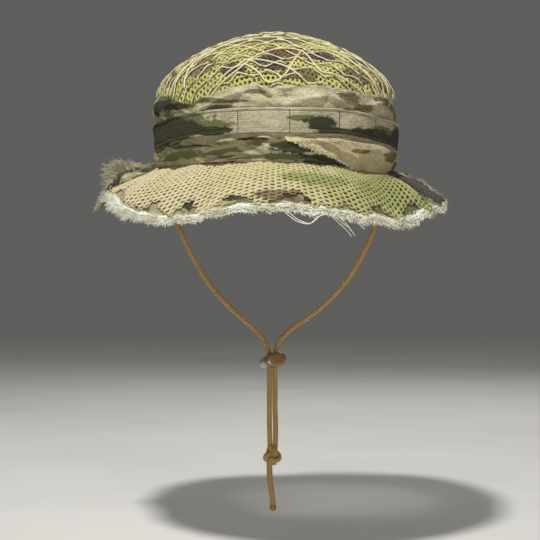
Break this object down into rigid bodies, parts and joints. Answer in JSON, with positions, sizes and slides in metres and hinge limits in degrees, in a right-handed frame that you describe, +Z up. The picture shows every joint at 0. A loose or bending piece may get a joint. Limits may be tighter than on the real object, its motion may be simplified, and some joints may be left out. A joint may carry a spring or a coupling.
{
  "type": "boonie hat",
  "caption": "Soft camouflage boonie hat with mesh and netting crown, foliage loop tape, frayed drooping brim, and a chin cord with a sliding cord lock.",
  "frame": {"origin": "centre of the head opening, at the seam between crown and brim", "axes": "+Z up through the crown, -Y to the front of the hat, +X to the wearer's left"},
  "size_m": [0.2533, 0.2888, 0.3412],
  "materials": {
    "crown_mesh_cloth": "round-hole polyester mesh, printed camouflage",
    "net_string": "thin knotted string",
    "camo_cloth": "plain-weave cotton blend, printed camouflage",
    "tape_cloth": "plain-weave cloth tape, printed camouflage",
    "sewing_thread": "dark olive sewing thread",
    "sweatband_cloth": "olive cotton",
    "binding_tape": "woven tape",
    "brim_mesh_cloth": "slot-hole polyester mesh, printed camouflage",
    "interlining": "stiff non-woven",
    "under_cloth": "plain-weave cotton blend, dark camouflage",
    "frayed_yarn": "loose undyed yarn ends",
    "chin_cord": "braided nylon cord, brown",
    "sealed_tip": "melted nylon",
    "lock_plastic": "glossy moulded plastic, brown",
    "spring_wire": "bright spring wire"
  },
  "bodies": {
    "hat": {"crown_mesh": "crown_mesh_cloth", "scrim_net": "net_string", "crown_band": "camo_cloth", "band_overlap": "camo_cloth", "foliage_tape": "tape_cloth", "tape_bartacks": "sewing_thread", "sweatband": "sweatband_cloth", "seam_binding": "binding_tape", "brim_mesh": "brim_mesh_cloth", "brim_top_cloth": "camo_cloth", "brim_interlining": "interlining", "brim_under_cloth": "under_cloth", "brim_stitching": "sewing_thread", "brim_fringe_top": "frayed_yarn", "brim_fringe_under": "frayed_yarn"},
    "chin_cord": {"cord_tab_left": "binding_tape", "cord_tab_right": "binding_tape", "cord_left_upper": "chin_cord", "cord_right_upper": "chin_cord", "cord_left_lower": "chin_cord", "cord_right_lower": "chin_cord", "cord_knot": "chin_cord", "cord_tail": "chin_cord", "cord_tip": "sealed_tip"},
    "cord_lock": {"lock_barrel": "lock_plastic", "lock_spring": "spring_wire"},
    "lock_plunger": {"lock_plunger": "lock_plastic"}
  },
  "joints": [
    {"name": "chin_cord_swing", "type": "hinge", "parent": "hat", "child": "chin_cord", "pos_m": [0, 0, -0.007], "axis": [1, 0, 0], "range_deg": [-65, 65]},
    {"name": "cord_lock_slide", "type": "slide", "parent": "chin_cord", "child": "cord_lock", "axis": [0, 0, -1], "range_m": [0, 0.048], "deforming": ["cord_left_upper", "cord_right_upper", "cord_left_lower", "cord_right_lower"]},
    {"name": "plunger_press", "type": "slide", "parent": "cord_lock", "child": "lock_plunger", "axis": [-0.3043, 0.9366, -0.1736], "range_m": [0, 0.0026], "stiffness_N_per_m": 1500, "springref_m": -0.002, "deforming": ["lock_spring"]}
  ]
}
